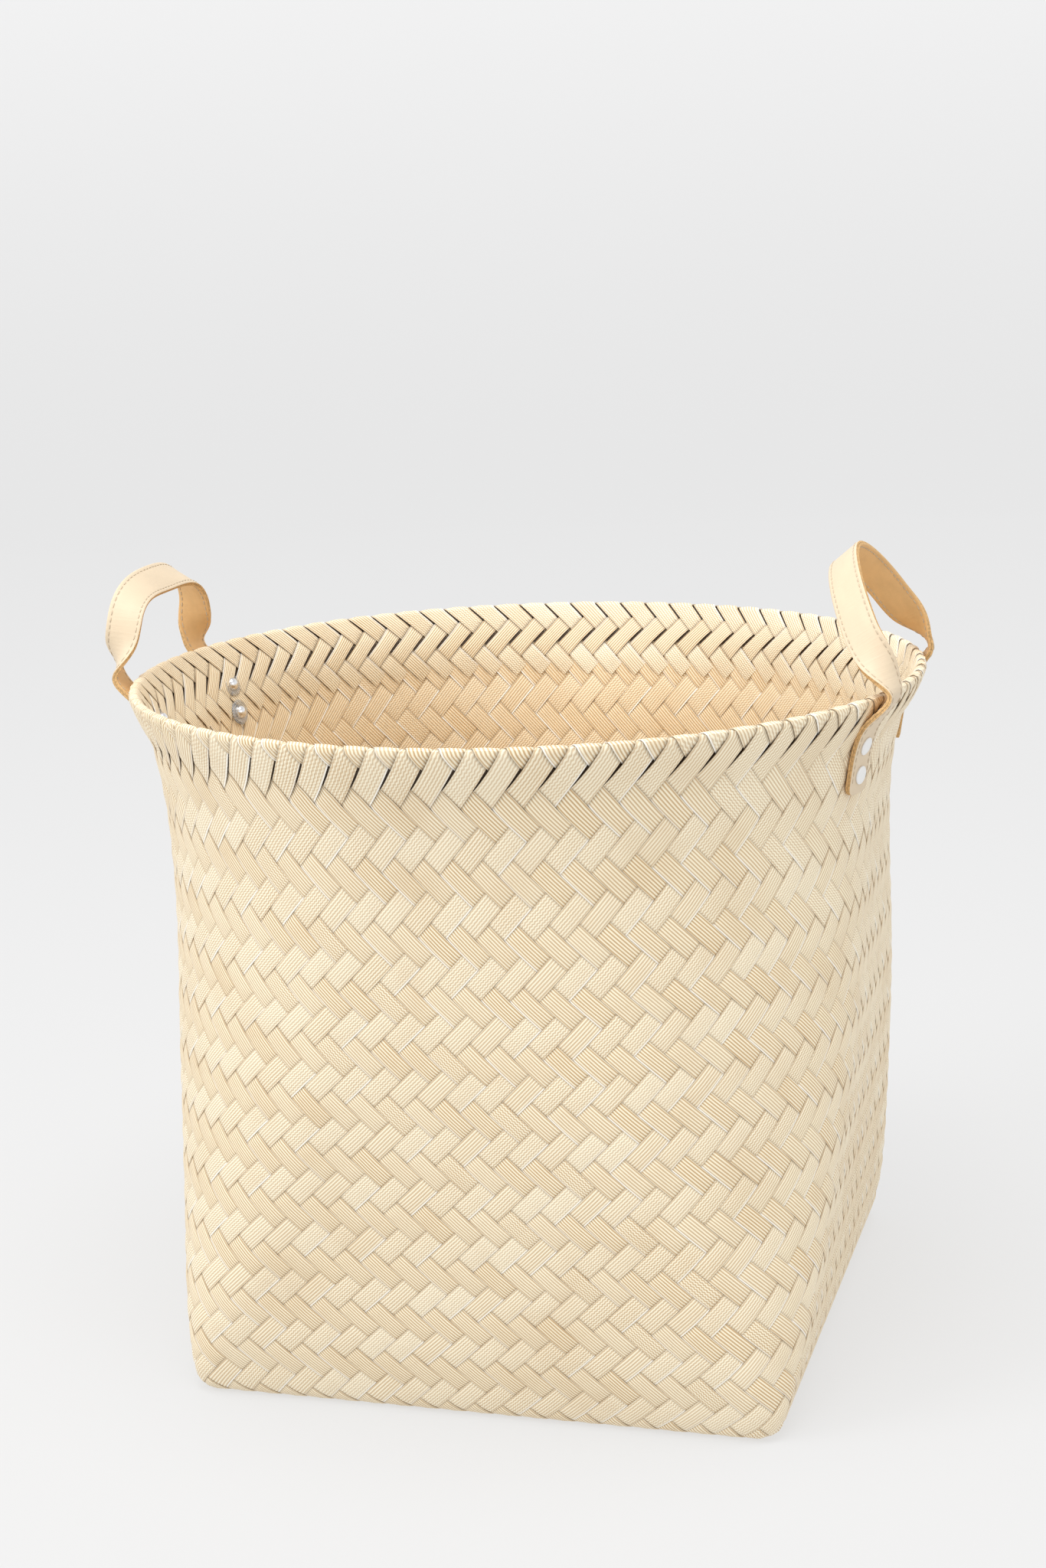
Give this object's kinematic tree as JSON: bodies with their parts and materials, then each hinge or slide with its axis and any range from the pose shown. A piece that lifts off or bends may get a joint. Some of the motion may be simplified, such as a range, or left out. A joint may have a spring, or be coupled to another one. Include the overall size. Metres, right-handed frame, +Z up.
{
  "type": "plaited storage basket",
  "caption": "Plaited strip storage basket with a square base, a round flared mouth and a riveted strap handle on each side.",
  "frame": {"origin": "centre of the square base, on the surface it stands on", "axes": "+Z up; the base is square to X and Y; the handles stand at -X (left) and +X (right); -Y is the front"},
  "size_m": [0.4181, 0.41, 0.4145],
  "materials": {
    "plaited_strip": "ribbed satin, cream and tan lines along each strip",
    "strap_face": "smooth coated face, fine grain",
    "strap_lining": "smooth coated back, darker tan",
    "rivet_head": "white, glossy",
    "clear_washer": "clear, glossy",
    "rivet_cap": "polished"
  },
  "bodies": {
    "basket": {"left_front_lower_cap": "rivet_cap", "left_front_lower_rivet": "rivet_head", "left_front_lower_washer": "clear_washer", "left_front_tail_face": "strap_face", "left_front_tail_lining": "strap_lining", "left_front_upper_cap": "rivet_cap", "left_front_upper_rivet": "rivet_head", "left_front_upper_washer": "clear_washer", "left_rear_lower_cap": "rivet_cap", "left_rear_lower_rivet": "rivet_head", "left_rear_lower_washer": "clear_washer", "left_rear_tail_face": "strap_face", "left_rear_tail_lining": "strap_lining", "left_rear_upper_cap": "rivet_cap", "left_rear_upper_rivet": "rivet_head", "left_rear_upper_washer": "clear_washer", "right_front_lower_cap": "rivet_cap", "right_front_lower_rivet": "rivet_head", "right_front_lower_washer": "clear_washer", "right_front_tail_face": "strap_face", "right_front_tail_lining": "strap_lining", "right_front_upper_cap": "rivet_cap", "right_front_upper_rivet": "rivet_head", "right_front_upper_washer": "clear_washer", "right_rear_lower_cap": "rivet_cap", "right_rear_lower_rivet": "rivet_head", "right_rear_lower_washer": "clear_washer", "right_rear_tail_face": "strap_face", "right_rear_tail_lining": "strap_lining", "right_rear_upper_cap": "rivet_cap", "right_rear_upper_rivet": "rivet_head", "right_rear_upper_washer": "clear_washer", "rim_fold": "plaited_strip", "woven_base": "plaited_strip", "woven_wall_front": "plaited_strip", "woven_wall_left": "plaited_strip", "woven_wall_rear": "plaited_strip", "woven_wall_right": "plaited_strip"},
    "left_handle": {"left_loop_face": "strap_face", "left_loop_lining": "strap_lining"},
    "right_handle": {"right_loop_face": "strap_face", "right_loop_lining": "strap_lining"}
  },
  "joints": [
    {"name": "left_handle_flex", "type": "hinge", "parent": "basket", "child": "left_handle", "pos_m": [-0.2065, 0, 0.3485], "axis": [0, -1, 0], "range_deg": [-50, 115]},
    {"name": "right_handle_flex", "type": "hinge", "parent": "basket", "child": "right_handle", "pos_m": [0.196, 0, 0.3485], "axis": [0, 1, 0], "range_deg": [-22, 143]}
  ]
}
